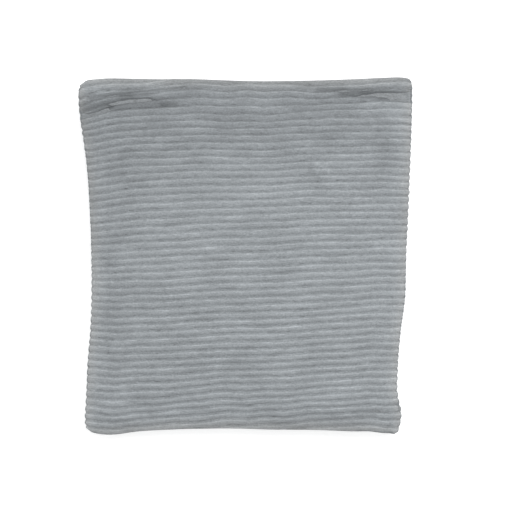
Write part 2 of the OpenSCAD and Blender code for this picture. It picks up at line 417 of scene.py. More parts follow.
def distance_to(x, y, path):
    """Distance from a path of straight pieces."""
    nearest = np.full_like(x, np.inf)
    for (ax, ay), (bx, by) in zip(path, path[1:]):
        k = ((x - ax) * (bx - ax) + (y - ay) * (by - ay)) / ((bx - ax) ** 2 + (by - ay) ** 2)
        k = np.clip(k, 0, 1)
        nearest = np.minimum(nearest, np.hypot(x - mix(ax, bx, k), y - mix(ay, by, k)))
    return nearest


def creases(x, y):
    """How deep the creases press the front panel in, and how dark the shade painted along them is."""
    pressed = np.zeros_like(x)
    painted_crease_shade = np.zeros_like(x)
    for path, depth, width, painted_darkness, reach in CREASES:
        distance = distance_to(x, y, path)
        pressed += depth * bell(distance, width)
        painted_crease_shade = 1 - (1 - painted_crease_shade) * (1 - painted_darkness * bell(distance, reach))
    return pressed, painted_crease_shade


def drift(s, t):
    """How far the front panel's ribs have slid towards the head edge, in metres."""
    tilt = 0.0065 * s
    # Towards the right the ribs rise, most next to the zip edge and least under the head edge.
    rise = 0.0020 - 0.0030 * t - 0.0031 * ramp(t, 0.65, 0.85) + 0.0046 * ramp(-t, 0.65, 0.85)
    right = rise * ramp(s, 0, 0.8)
    # Along the left edge they turn down, most of all in the upper corner.
    corner = ramp(t, 0.62, 0.88) * (1 - 0.8 * ramp(t, 0.88, 0.97))
    fall = -0.0029 * ramp(t, -0.2, 0.2) - 0.0100 * corner + 0.0010 * ramp(-t, 0, 0.4)
    left = fall * np.exp(-(s + 1) / 0.13)
    sag = -0.0030 * bell(s + 0.50, 0.32) * ramp(-t, -0.4, 0.0) * (1 + 0.3 * ramp(-t, 0.75, 0.85))
    dent = -0.0024 * bell(s - 0.02, 0.24) * bell(t - 0.58, 0.12)
    # Under the head edge they are drawn up and lie farther apart.
    middle = 0.0062 * ramp(t, 0.75, 0.91)
    creased = 0.0042 * ramp(t, 0.73, 0.80) - 0.0016 * ramp(t, 0.85, 0.91)
    drawn = mix(middle, creased, ramp(s, 0.15, 0.50)) * ramp(s, -0.62, -0.40)
    drawn = drawn + 0.0013 * ramp(-s, 0.45, 0.65) * bell(t - 0.5, 0.35)
    # Below that they lie a little closer together.
    closer = 0.0056 * np.clip(0.82 - t, 0, 1.42) - 0.0018 * ramp(-t, 0.68, 0.86)
    closer = closer + 0.0022 * bell(s - 0.33, 0.20) * bell(t - 0.20, 0.30)
    return tilt + right + left + sag + dent + drawn + closer


def rib_phase(side, s, t, x, y):
    """How many ribs a place is from the zip edge. The fraction is how far across its rib it is."""
    slid = wanders(x, y, WAVER)
    if side == FRONT:
        slid = slid + drift(s, t)
    return rib_count * (t + 1) / 2 - slid / rib_pitch


def painted_rib_highlight(phase):
    """How much lighter each rib's upper flank is painted: a painted highlight, where light from the head
    side would fall.
    """
    across = phase - np.floor(phase)
    return bell(across - 0.66, 0.065) - 0.3 * bell(across - 0.86, 0.10)


def edge_distance(s, t):
    """About how far a place is from the nearest edge, along the fabric."""
    return np.minimum((1 - np.abs(s)) * cover_w / 2, (1 - np.abs(t)) * cover_l / 2)


# The hem's rings: how far in from the outline, and how far from the seam's plane.
HEM = [(0.0004, 0.0006), (0.001, 0.0001), (0.0018, 0.0), (0.0024, 0.0)]
hem_to_tape = 0.0006
hem_step_in = 0.0008


def hem_rings(side, edge, s, t):
    """The hem's rings. It turns in at the seam, and along the zip it runs on to the tape."""
    open_here = parting(s, t) / (lip_gap / 2)
    wave = edge - xyz(*plan(s, t, 0), edge[:, 2])
    rings = []
    for inset, drop in HEM:
        turned = inset / HEM[-1][0]
        x, y = plan(s, t, inset)
        y = y + (chain_y - hem_to_tape - y) * turned * open_here
        z = seam_z + side * (layer_gap / 2 + parting(s, t) + drop)
        rings.append(xyz(x, y, z) + wave * (1 - turned))
    return rings


def inside_of(side, s, t, last_ring):
    """A panel's inside, with a row for every half rib, and the rim point that meets each hem point."""
    step = rows_per_rib // 2
    grid = layer(side, s, t[::step], fabric_t, fabric_t, lips=True)
    rows, columns = np.array(grid.shape[:2]) - 1
    ids = np.arange(grid.size // 3).reshape(grid.shape[:2])
    down = (np.arange(len(t) - 1) + step // 2) // step
    over = np.arange(columns)
    order = [over, columns + down, columns + rows + over, 2 * columns + rows + down]
    rim = rim_of(ids)
    met = np.concatenate(order) % len(rim)
    coarse, fine = np.unique(met, return_index=True)
    points = grid.reshape(-1, 3)
    points[rim[coarse]] = last_ring[fine] + (0, 0, side * hem_step_in)
    return points, ids, rim[met]


def add_panel(word, side):
    """A velour panel as a closed solid: its ribbed outside, the turned-in hem and its inside."""
    even = np.linspace(-1, 1, panel_columns + 1)
    s = mix(even, np.sin(even * math.pi / 2), 0.5)
    t = np.linspace(-1, 1, rib_count * rows_per_rib + 1)
    across, along = np.meshgrid(s, t)
    # The ribs stand on a base a little inside the outline and the crown.
    base = layer(side, s, t, rib_relief / 2, rib_relief * 0.8, lips=True)
    x, y = base[..., 0], base[..., 1]
    phase = rib_phase(side, across, along, x, y)
    crest = np.abs(np.sin(math.pi * phase)) ** rib_roundness
    relief = rib_relief * mix(seam_relief_share, 1, ramp(edge_distance(across, along), 0, seam_reach))
    lift = relief * (1 + wanders(x, y, UNEVEN)) * crest
    # Crease depths, and the shade painted along the creases.
    creased, painted_crease_shade = creases(x, y)
    if side == FRONT:
        lift = lift - creased
    outside = base + normals_of(base) * (side * lift)[..., None]
    # The ribs' ends bulge over the seams at the sides.
    bulge = bulge_reach * (crest - 0.5) * bell((1 - np.abs(across)) * cover_w / 2, bulge_fade)
    outside[..., 0] += np.sign(across) * bulge
    outside[..., 2] = np.maximum(outside[..., 2], 0)

    # Faces turn one way on the front panel and the other way on the back one.
    ids = np.arange(x.size).reshape(x.shape)
    faces = quads(ids[:, ::side])
    ring = rim_of(ids)
    points = [outside.reshape(-1, 3)]
    points += hem_rings(side, points[0][ring], across.ravel()[ring], along.ravel()[ring])
    for k in range(len(HEM)):
        next_ring = ids.size + k * len(ring) + np.arange(len(ring))
        faces += joined_rings(*(next_ring, ring)[::side])
        ring = next_ring
    inner, inner_ids, met = inside_of(side, s, t, points[-1])
    first = ring[-1] + 1
    faces += quads(inner_ids[:, ::-side] + first)
    for a, b, c, d in joined_rings(ring, met + first):
        faces.append(([a, b, c] if c == d else [a, b, c, d])[::-side])

    points = np.concatenate(points + [inner])
    # Each colour attribute's values on the outside, and its value everywhere else: random tone, painted
    # shade and a painted highlight.
    tone_and_painted_light = {
        "rib": (crest, 0.3),
        "painted_rib_highlight": (painted_rib_highlight(phase), 0),
        "shade": (shading(side, x, y, across, along, painted_crease_shade), -0.1),
        "warm": (warmth(across, along), 0.3),
    }
    hidden = len(points) - x.size
    attributes = {key: np.append(values, np.full(hidden, rest)) for key, (values, rest) in tone_and_painted_light.items()}
    piece = add_piece(word + "_panel", points, faces, velour, "velour", attributes=attributes)
    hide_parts("cover_" + word)


# Patches of darker or lighter colour: a patch's middle, its reaches and how much. The dark ones by the
# head-edge creases are painted shade.
PATCHES = [
    (-0.133, 0.206, 0.034, 0.011, -0.21),
    (-0.19, 0.198, 0.02, 0.008, -0.11),
    (-0.16, 0.233, 0.065, 0.007, 0.12),
    (-0.218, 0.23, 0.008, 0.01, 0.12),
    (0.01, 0.2, 0.03, 0.009, 0.09),
    (0.018, 0.233, 0.04, 0.007, 0.1),
    (0.19, 0.216, 0.018, 0.008, -0.2),
    (0.188, 0.136, 0.015, 0.05, -0.11),
    (0.037, 0.026, 0.04, 0.032, -0.09),
    (-0.129, -0.003, 0.05, 0.025, 0.09),
    (0.061, -0.182, 0.03, 0.015, -0.06),
    (0.085, -0.22, 0.11, 0.014, -0.1),
    (-0.19, -0.224, 0.035, 0.01, -0.1),
]


def shading(side, x, y, s, t, painted_crease_shade):
    """How much darker, below 0, or lighter, above 0, a panel's colour is made: random mottle, and on the
    front also pile marks, patches, painted shade by the creases and under the head edge, and painted light
    along the side edges.
    """
    mottle = wanders(x, y, MOTTLE)
    if side == BACK:
        return mottle
    # Painted shade under the head edge, below its creases, lightening again at the very edge and weaker near
    # the sides.
    brushed = -0.09 * ramp(y, 0.05, 0.11) - 0.12 * ramp(y, 0.12, 0.175) + 0.10 * ramp(y, 0.212, 0.228)
    brushed = brushed * (1 - ramp(x, 0.13, 0.21)) * (1 - 0.7 * ramp(-x, 0.16, 0.20))
    # Both side edges catch more light below the middle.
    lower = ramp(-y, -0.05, 0.02)
    right_rim = 0.15 * bell((1 - s) * cover_w / 2, 0.015) * (0.4 + 0.6 * lower)
    left_rim = 0.17 * bell((1 + s) * cover_w / 2, 0.020) * lower
    low_band = 0.04 * bell(y + 0.18, 0.035)
    # One stroke across the pile, and the smudge beside it.
    stroke = 0.20 * bell(distance_to(x, y, [(0.093, 0.124), (0.111, 0.113)]), 0.0017)
    smudge = -0.15 * bell(distance_to(x, y, [(0.087, 0.112), (0.099, 0.100)]), 0.0045)
    patches = sum(k * bell(x - px, rx) * bell(y - py, ry) for px, py, rx, ry, k in PATCHES)
    lighter = mottle + brushed + right_rim + left_rim + low_band + stroke + smudge + patches
    # The painted crease shade darkens all the rest.
    return (1 + lighter) * (1 - painted_crease_shade) - 1


def warmth(s, t):
    """Where the fabric turns slightly warmer: along the seams."""
    return bell(edge_distance(s, t), warm_reach)


# ---- tools for small solid pieces

def joined(*parts):
    """Several (points, faces) pairs as one."""
    points = []
    faces = []
    count = 0
    for p, f in parts:
        points.append(np.asarray(p, float).reshape(-1, 3))
        faces += [[int(i) + count for i in face] for face in f]
        count += len(points[-1])
    return np.concatenate(points), faces


def tubes(paths, up, radius, sides=6):
    """Round threads or wires along paths of equally many points. up is never along a path."""
    paths = np.asarray(paths, float)
    ahead = np.gradient(paths, axis=1)
    ahead /= np.linalg.norm(ahead, axis=2, keepdims=True)
    aside = np.cross(ahead, up)
    aside /= np.linalg.norm(aside, axis=2, keepdims=True)
    rise = np.cross(aside, ahead)
    angle = np.arange(sides)[:, None] * 2 * math.pi / sides
    ring = aside[:, :, None] * np.cos(angle) + rise[:, :, None] * np.sin(angle)
    points = paths[:, :, None] + radius * ring
    ids = np.arange(points.size // 3).reshape(points.shape[:3])
    a = ids[:, :-1]
    b = ids[:, 1:]
    faces = np.stack([a, b, np.roll(b, -1, 2), np.roll(a, -1, 2)], -1).reshape(-1, 4).tolist()
    faces += ids[:, 0].tolist() + ids[:, -1, ::-1].tolist()
    return points.reshape(-1, 3), faces


def stitches(starts, ends, out, radius):
    """Short threads from each start to each end, on a surface that out points away from."""
    along = np.array([0.0, 0.12, 0.5, 0.88, 1.0])[:, None]
    height = np.array([-1.0, 0.5, 0.9, 0.5, -1.0])[:, None] * radius
    starts = np.asarray(starts)[:, None]
    ends = np.asarray(ends)[:, None]
    out = np.broadcast_to(out, starts[:, 0].shape)[:, None]
    return tubes(mix(starts, ends, along) + out * height, out, radius)


def thick_sheet(grid, thickness):
    """A closed sheet: a grid of points and its copy under it."""
    under = grid - normals_of(grid) * thickness
    return pillow(grid, under)


def pillow(over, under):
    """A closed solid between an upper and a lower grid of points."""
    ids = np.arange(over.shape[0] * over.shape[1]).reshape(over.shape[:2])
    faces = quads(ids) + quads(ids[:, ::-1] + ids.size)
    faces += joined_rings(rim_of(ids) + ids.size, rim_of(ids))
    return np.concatenate([over.reshape(-1, 3), under.reshape(-1, 3)]), faces


sharp_angle = math.radians(40)


def bevelled(points, faces, width, segments=3):
    """The solid with its sharp edges rounded off."""
    bm = bmesh.new()
    made = [bm.verts.new(p) for p in np.asarray(points).reshape(-1, 3).tolist()]
    for face in faces:
        bm.faces.new([made[i] for i in face])
    bmesh.ops.recalc_face_normals(bm, faces=bm.faces)
    sharp = [e for e in bm.edges if e.calc_face_angle(0) > sharp_angle]
    bmesh.ops.bevel(bm, geom=sharp, offset=width, segments=segments, profile=0.5, affect="EDGES",
                    clamp_overlap=True)
    bm.verts.index_update()
    out = [list(v.co) for v in bm.verts], [[v.index for v in f.verts] for f in bm.faces]
    bm.free()
    return out


def plate(outline, travel, bevel):
    """A flat outline of 3D points, extruded by travel, with rounded edges."""
    base = np.asarray(outline, float)
    n = len(base)
    faces = [list(range(n))[::-1], list(range(n, 2 * n))]
    faces += [[i, (i + 1) % n, n + (i + 1) % n, n + i] for i in range(n)]
    return bevelled(np.concatenate([base, base + travel]), faces, bevel)


def ring_plate(outline, hole, travel, bevel):
    """A plate with a hole, which has as many points as the outline, in the same order."""
    outer = np.asarray(outline, float)
    inner = np.asarray(hole, float)
    n = len(outer)
    faces = []
    for i in range(n):
        j = (i + 1) % n
        faces += [[j, i, n + i, n + j], [2 * n + i, 2 * n + j, 3 * n + j, 3 * n + i]]
        faces += [[i, j, 2 * n + j, 2 * n + i], [n + j, n + i, 3 * n + i, 3 * n + j]]
    return bevelled(np.concatenate([outer, inner, outer + travel, inner + travel]), faces, bevel, 2)


def upright(outline, y, sign=1):
    """An outline of (x, z) pairs at y. z counts from the seam's plane, and sign may mirror it."""
    return [(x, y, seam_z + sign * z) for x, z in outline]


def rounded(x0, x1, half_w, radius, steps=6):
    """The (x, z) outline of a rectangle with round corners."""
    points = []
    centres = [(x1 - radius, 1), (x0 + radius, 1), (x0 + radius, -1), (x1 - radius, -1)]
    for quarter, (x, sign) in enumerate(centres):
        z = sign * (half_w - radius)
        for k in range(steps + 1):
            a = math.radians(90 * (quarter + k / steps))
            points.append((x + radius * math.cos(a), z + radius * math.sin(a)))
    return points


# ---- seam allowances, label and seam thread

allowance_in = fabric_t + 3 * layer_gap
allowance_w = 0.009
allowance_t = 0.0011
insert_allowance_w = 0.008
insert_allowance_t = 0.0012
seam_end = 0.92
slit_seam_start = 0.952
slit_seam_end = 0.98
stitch_l = 0.0028
thread_r = 0.00017
overlock_share = 0.45
seam_thread_in = 0.0010
stitch_share = 0.72
band_step = 0.004

# A band's section: shares of its width and of its thickness.
BAND_ACROSS = np.array([0, 0.03, 0.5, 0.97, 1, 1, 0.97, 0.5, 0.03, 0])
BAND_HEIGHT = np.array([-0.35, -0.5, -0.5, -0.5, -0.35, 0.35, 0.5, 0.5, 0.5, 0.35])


def edge_run(start, end, inset, step):
    """Points along the outline from one s, t to another, a step apart and moved in by inset."""
    length = math.hypot((end[0] - start[0]) * cover_w / 2, (end[1] - start[1]) * cover_l / 2)
    k = np.linspace(0, 1, max(2, int(round(length / step))) + 1)
    x, y = plan(mix(start[0], end[0], k), mix(start[1], end[1], k), inset)
    return xyz(x, y, seam_z)


def band(outer, inner, thickness, closed):
    """A flat strip of sewn fabric between two runs of points, with soft edges."""
    wave = 0.00012 * wander(outer[:, 0], outer[:, 1], 0.02, 21)
    section = mix(outer[:, None], inner[:, None], BAND_ACROSS[None, :, None])
    section = section + np.array([0, 0, 1]) * (BAND_HEIGHT * thickness + wave[:, None])[..., None]
    ids = np.arange(section.size // 3).reshape(section.shape[:2])
    faces = []
    last = len(ids) if closed else len(ids) - 1
    for k in range(last):
        faces += joined_rings(ids[k], ids[(k + 1) % len(ids)])
    if not closed:
        faces += [ids[0, ::-1].tolist(), ids[-1].tolist()]
    return section.reshape(-1, 3), faces


def overlock(outer, inner, thickness):
    """The thread that binds a band's inner edge, with one turn for each point."""
    needle = mix(outer, inner, overlock_share)
    beyond = inner + (inner - outer) * 0.02
    lift = np.array([0, 0, thickness / 2 + thread_r])
    half, half_out = [np.concatenate([(p[1:] + p[:-1]) / 2, p[-1:]]) for p in (needle, beyond)]
    path = np.stack([needle + lift, beyond + lift, half_out - lift, half - lift], 1).reshape(-1, 3)
    run = np.repeat(np.gradient(outer, axis=0), 4, axis=0)
    return tubes(path[None], run[None], thread_r, 5)


def add_allowance(names, node, run, width, thickness, material, slot, closed=False):
    """A seam allowance and its overlock thread. run gives the seam's points, moved in, a step apart."""
    points, faces = band(run(0, band_step), run(width, band_step), thickness, closed)
    piece = add_piece(names[0], points, faces, material, slot)
    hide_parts(node)
    points, faces = overlock(run(0, stitch_l), run(width, stitch_l), thickness)
    add_piece(names[1], points, faces, thread, "thread")


def add_allowances():
    """The cover's allowances, turned in at each sewn stretch of the outline."""
    e = seam_end
    runs = {
        "seam_left": ((-1, -e), (-1, e)),
        "seam_right": ((1, e), (1, -e)),
        "seam_head": ((e, 1), (-e, 1)),
        "seam_zip_edge_left": ((-slit_seam_end, -1), (-slit_seam_start, -1)),
        "seam_zip_edge_right": ((slit_seam_start, -1), (slit_seam_end, -1)),
    }
    for node, ends in runs.items():
        def run(inward, step):
            return edge_run(*ends, allowance_in + inward, step)

        name = node.replace("seam", "allowance")
        names = (name, name + "_overlock")
        add_allowance(names, node, run, allowance_w, allowance_t, velour_ground, "velour")


def add_seam_thread():
    """The stitches that show in the groove between the two panels."""
    parts = []
    e = seam_end
    for start, end in (((-1, e), (-1, -e)), ((-e, 1), (e, 1)), ((1, -e), (1, e))):
        run = edge_run(start, end, seam_thread_in, stitch_l)
        along = np.gradient(run, axis=0)
        out = np.cross((0, 0, 1), along)
        out /= np.linalg.norm(out, axis=1, keepdims=True)
        out *= np.sign(((run - run.mean(0)) * out).sum(1).mean())
        reach = along * stitch_share / 2
        parts.append(stitches(run - reach, run + reach, out, thread_r))
    add_piece("seam_thread", *joined(*parts), thread, "thread")


label_w = 0.030
label_in = 0.009
label_reach = 0.019
label_rise = 0.0078
label_fold_r = 0.0005
label_ply_t = 0.00028
label_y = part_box("care_label")[0].y + label_w / 2


def add_label():
    """A blank woven label, folded double, that leans up from the left seam."""
    k = np.linspace(0, 1, 26)
    turn = np.linspace(-math.pi / 2, math.pi / 2, 9)[1:-1]
    fold = label_fold_r
    # Out along the lower ply, round the fold, and back along the upper one.
    out_x = plan(-1.0, label_y / (cover_l / 2), label_in)[0] + label_reach * k
    rise = allowance_t / 2 + 0.0002 + label_rise * k**1.15
    x = np.concatenate([out_x, out_x[-1] + fold * np.cos(turn), out_x[::-1]])
    z = np.concatenate([rise, rise[-1] + fold + fold * np.sin(turn), rise[::-1] + 2 * fold])
    across = np.linspace(-label_w / 2, label_w / 2, 31)[:, None]
    # It is slightly wavy, as worn satin is.
    wavy_x = x + 0.0003 * np.sin(across * 190)
    wavy_z = seam_z + z + 0.0002 * np.sin(across * 260 + x * 300)
    grid = xyz(wavy_x, label_y + across, wavy_z)
    piece = add_piece("care_label_loop", *thick_sheet(grid, label_ply_t), satin, "label")
    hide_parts("care_label")


# ---- insert

casing_depth = fabric_t + layer_gap
filling_depth = casing_depth + casing_t + filling_gap
filling_inset = insert_inset + casing_t + insert_allowance_w + 2 * layer_gap
filling_edge = 0.003
insert_steps = 110
filling_steps = 90
dent_fade = 0.02


def dented(side, steps, inset, depth, dents, rim_gap=layer_gap / 2):
    """A layer of the insert. Each kind of dent has its wavelength, seed and depth."""
    line = np.sin(np.linspace(-1, 1, steps + 1) * math.pi / 2)
    grid = layer(side, line, line, inset, depth, rim_gap)
    x, y = grid[..., 0], grid[..., 1]
    pressed = sum(np.abs(wander(x, y, size, seed + side)) * deep for size, seed, deep in dents)
    fade = np.minimum(1, edge_distance(*np.meshgrid(line, line)) / dent_fade)
    grid = grid - normals_of(grid) * (side * pressed * fade)[..., None]
    if side == BACK:
        grid[..., 2] = np.maximum(grid[..., 2], depth)
    return grid


def add_insert():
    """The casing's two panels, its overlocked seam and the fibre filling."""
    creased = [(0.06, 31, 0.0006), (0.018, 41, 0.0002)]
    for word, side in SIDES.items():
        grid = dented(side, insert_steps, insert_inset, casing_depth, creased)
        points, faces = thick_sheet(grid, side * casing_t)
        piece = add_piece("insert_casing_" + word, points, [f[::side] for f in faces], ticking, "casing")
        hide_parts("insert_" + word)
    ring = [(-1, -1), (1, -1), (1, 1), (-1, 1), (-1, -1)]
    inset = insert_inset + casing_t + layer_gap

    def around(inward, step):
        runs = [edge_run(a, b, inset + inward, step)[:-1] for a, b in zip(ring, ring[1:])]
        return np.concatenate(runs)

    add_allowance(("insert_allowance", "insert_overlock"), "insert_seam", around,
                  insert_allowance_w, insert_allowance_t, ticking, "casing", closed=True)
    lumpy = [(0.045, 51, 0.0016), (0.014, 61, 0.0006)]
    halves = [dented(side, filling_steps, filling_inset, filling_depth, lumpy, filling_edge)
              for side in SIDES.values()]
    piece = add_piece("fibre_filling", *pillow(*halves), fibre, "filling")
    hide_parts("insert_filling")


# ---- zip

coil_pitch = 0.0015
wire_r = 0.00028
coil_points = 12
coil_reach = 0.00235
coil_gap = 0.0004
chain_thread_r = 0.0001
chain_out = 0.0015
tack_rows = 34
tack_thread_r = 0.00019
tack_core_r = 0.00018
stop_waist = 0.00035
stop_bevel = 0.00035
tape_low, tape_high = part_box("zip_tape_front")
coil_low, coil_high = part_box("zip_coil_front")
tape_t = tape_high.y - tape_low.y
tape_flat = 0.0048
tape_turn = 0.0016
tape_lean = math.radians(80)
tape_wave = 0.00006
tape_cord = 0.00012
tape_steps = 240
tape_rows = 25


def add_tape(word, side):
    """A woven tape with a cord along its edge. Past the lip it turns in under the fabric."""
    width = tape_high.z - tape_low.z
    run = np.linspace(tape_low.x, tape_high.x, tape_steps)
    x, w = np.meshgrid(run, np.linspace(0, width, tape_rows))
    lean = tape_lean * ramp(w, tape_flat, tape_flat + tape_turn)
    step = width / (tape_rows - 1)
    rise = np.cumsum(np.cos(lean), axis=0) * step - step
    turned_in = np.cumsum(np.sin(lean), axis=0) * step
    wave = np.abs(tape_wave * wander(x, w, 0.02, 71 + side))
    z = seam_z + side * (tape_low.z - seam_z + rise)
    face = xyz(x, tape_low.y + turned_in + wave, z)
    thickness = tape_t - 2 * wave
    thickness[:2] += tape_cord
    back = face + xyz(0, np.cos(lean), -side * np.sin(lean)) * thickness[..., None]
    piece = add_piece("zip_tape_woven_" + word, *pillow(face, back), webbing, "zip_tape")
    recalculate(piece)
    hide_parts("zip_tape_" + word)


def add_coil(word, side):
    """A coil of nylon wire wound along its tape, and the chain stitches that hold it."""
    turns = int((coil_high.x - coil_low.x - 2 * wire_r) / coil_pitch)
    angle = np.arange(turns * coil_points + 1) * 2 * math.pi / coil_points
    middle_y = (coil_low.y + coil_high.y) / 2
    reach_y = (coil_high.y - coil_low.y) / 2 - wire_r
    high = coil_reach - wire_r
    low = coil_gap + wire_r
    # One coil starts a quarter turn on, so that the two mesh.
    start_x = coil_low.x + wire_r + (coil_pitch / 4 if side == FRONT else 0)
    x = start_x + coil_pitch * angle / (2 * math.pi)
    y = middle_y + reach_y * np.sin(angle)
    z = seam_z + side * ((high + low) / 2 + (high - low) / 2 * np.cos(angle))
    points, faces = tubes(xyz(x, y, z)[None], (1, 0, 0), wire_r)
    piece = add_piece("zip_coil_wound_" + word, points, faces, nylon, "zip_coil")
    recalculate(piece)
    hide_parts("zip_coil_" + word)
    at = start_x + coil_pitch * (0.5 + np.arange(turns - 1))
    base = xyz(at, coil_low.y, seam_z + side * chain_out)
    reach = (coil_pitch * 0.42, 0, 0)
    points, faces = stitches(base - reach, base + reach, (0.0, -1.0, 0.0), chain_thread_r)
    add_piece("zip_coil_stitches_" + word, points, faces, thread, "thread")


def add_bar_tack(word):
    """A bar of dense zigzag stitches over both tapes, round a core of two threads."""
    low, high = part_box("zip_bar_tack_" + word)
    z = np.linspace(low.z + 0.0003, high.z - 0.0003, tack_rows)
    y = high.y - 0.0004
    jitter = np.random.default_rng(81).uniform(-0.00012, 0.00012, (2, tack_rows))
    starts = xyz(low.x + 0.0002 + jitter[0], y, z)
    ends = xyz(high.x - 0.0002 + jitter[1], y, z + 0.00015)
    parts = [stitches(starts, ends, (0.0, -1.0, 0.0), tack_thread_r)]
    line = np.linspace(low.z, high.z, 12)
    for share in (0.35, 0.65):
        path = xyz(mix(low.x, high.x, share), high.y - 0.0002, line)
        parts.append(tubes(path[None], (1, 0, 0), tack_core_r))
    piece = add_piece("bar_tack_" + word, *joined(*parts), thread, "thread")
    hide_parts("zip_bar_tack_" + word)


def add_stop(node):
    """A metal stop clamped round the tapes, waisted where the tool pressed it."""
    low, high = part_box(node)
    z = np.linspace(low.z, high.z, 9)
    waist = stop_waist * bell(np.linspace(-1, 1, 9), 0.45)
    right = xyz(high.x - waist, low.y, z)
    left = xyz(low.x + waist, low.y, z)
    points, faces = plate(np.concatenate([right, left[::-1]]), (0, high.y - low.y, 0), stop_bevel)
    piece = add_piece(node + "_clamped", points, faces, nickel, "zip_metal")
    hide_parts(node)


pivot_r = 0.0007
bar_half = 0.0028
lug_t = 0.0012
lug_at = 0.0022
slider_low, slider_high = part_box("zip_slider")
tab_low, tab_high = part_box("zip_pull_tab")
blade_t = 0.0009
slider_gap = 0.0021
tab_t = 0.0012
eye_r = 0.00095
eye_out_r = 0.0018
eye_w = 0.0026
neck_half = 0.0013
pivot_x = tab_high.x - eye_out_r
pivot_y = (tab_low.y + tab_high.y) / 2


def circle_outline(x, y, z, radius, count=28):
    """A circle in the X-Y plane, as 3D points."""
    angles = np.arange(count) * 2 * math.pi / count
    return [(x + radius * math.cos(a), y + radius * math.sin(a), z) for a in angles]


def add_slider():
    """The slider: two blades, flanges round the coils, a post, and a bar between lugs."""
    x0 = slider_low.x
    x1 = slider_high.x
    half = (slider_high.z - slider_low.z) / 2
    outer_y = chain_y - slider_gap - blade_t
    inner_y = slider_high.y - blade_t
    waist = half * 0.78
    shoulder = mix(x0, x1, 0.45)
    # A blade's outline: from the wide end round the nose and back, and the notch in the wide end.
    upper = [(x1 - 0.0012, half), (shoulder + 0.001, half * 0.98), (shoulder - 0.0018, waist),
             (x0 + 0.001, waist * 0.96), (x0, waist * 0.6)]
    lower = [(x, -z) for x, z in upper[::-1]]
    notch = [(x1, half * -0.75), (x1, half * -0.2), (x1 - 0.0006, 0), (x1, half * 0.2), (x1, half * 0.75)]
    blade = upper + lower + notch
    parts = [plate(upright(blade, y), (0, blade_t, 0), 0.0003) for y in (outer_y, inner_y)]
    edge = [(x0 + 0.0012, waist), (shoulder - 0.0014, waist), (shoulder + 0.0012, half), (x1 - 0.0014, half)]
    flange = [(x, z - 0.0008) for x, z in edge] + [(x, z - 0.0001) for x, z in edge[::-1]]
    flange_y = outer_y + blade_t * 0.7
    foot = [(-0.0016, outer_y + 0.0003), (-0.0010, pivot_y)]
    head = [(0.0010 * math.sin(a), pivot_y - 0.0010 * math.cos(a)) for a in np.linspace(-1.2, 1.2, 7)]
    lug = foot + head + [(-x, y) for x, y in foot[::-1]]
    for sign in (-1, 1):
        travel = (0, chain_y - flange_y - 0.00025, 0)
        parts.append(plate(upright(flange, flange_y, sign), travel, 0.00012))
        lug_z = seam_z + sign * lug_at - lug_t / 2
        parts.append(plate([(pivot_x + x, y, lug_z) for x, y in lug], (0, 0, lug_t), 0.0002))
    post = [(x1 - 0.0042, 0.00015), (x1 - 0.0028, 0.00035), (x1 - 0.0012, 0.00035)]
    post = [(x, -z) for x, z in post] + post[::-1]
    parts.append(plate(upright(post, outer_y + 0.0004), (0, inner_y - outer_y, 0), 0.00008))
    bar = circle_outline(pivot_x, pivot_y, seam_z - bar_half, pivot_r, 20)
    parts.append(plate(bar, (0, 0, 2 * bar_half), 0.00015))
    piece = add_piece("slider_body", *joined(*parts), nickel, "zip_metal", "slider")
    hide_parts("zip_slider")


def add_pull_tab():
    """The pull tab: an eye on the slider's bar, a neck and a flat tab with a slot."""
    half = (tab_high.z - tab_low.z) / 2
    x0 = tab_low.x
    x1 = pivot_x - 0.003
    y = pivot_y - tab_t / 2
    slot = rounded(x0 + 0.0025, x0 + 0.0105, 0.0012, 0.00115)
    flat = ring_plate(upright(rounded(x0, x1, half, 0.002), y), upright(slot, y), (0, tab_t, 0), 0.00025)
    neck = [(x1 - 0.001, -neck_half), (pivot_x - 0.0012, -neck_half)]
    neck += [(x, -z) for x, z in neck[::-1]]
    neck = plate(upright(neck, y), (0, tab_t, 0), 0.0002)
    z = seam_z - eye_w / 2
    rims = [circle_outline(pivot_x, pivot_y, z, r) for r in (eye_out_r, eye_r)]
    eye = ring_plate(*rims, (0, 0, eye_w), 0.0002)
    piece = add_piece("pull_tab_plate", *joined(flat, neck, eye), nickel, "zip_metal", "pull_tab")
    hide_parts("zip_pull_tab")


def add_zip():
    for word, side in SIDES.items():
        add_tape(word, side)
        add_coil(word, side)
        add_stop("zip_top_stop_" + word)
    add_stop("zip_bottom_stop")
    add_bar_tack("left")
    add_bar_tack("right")
    add_slider()
    add_pull_tab()


# ---- materials

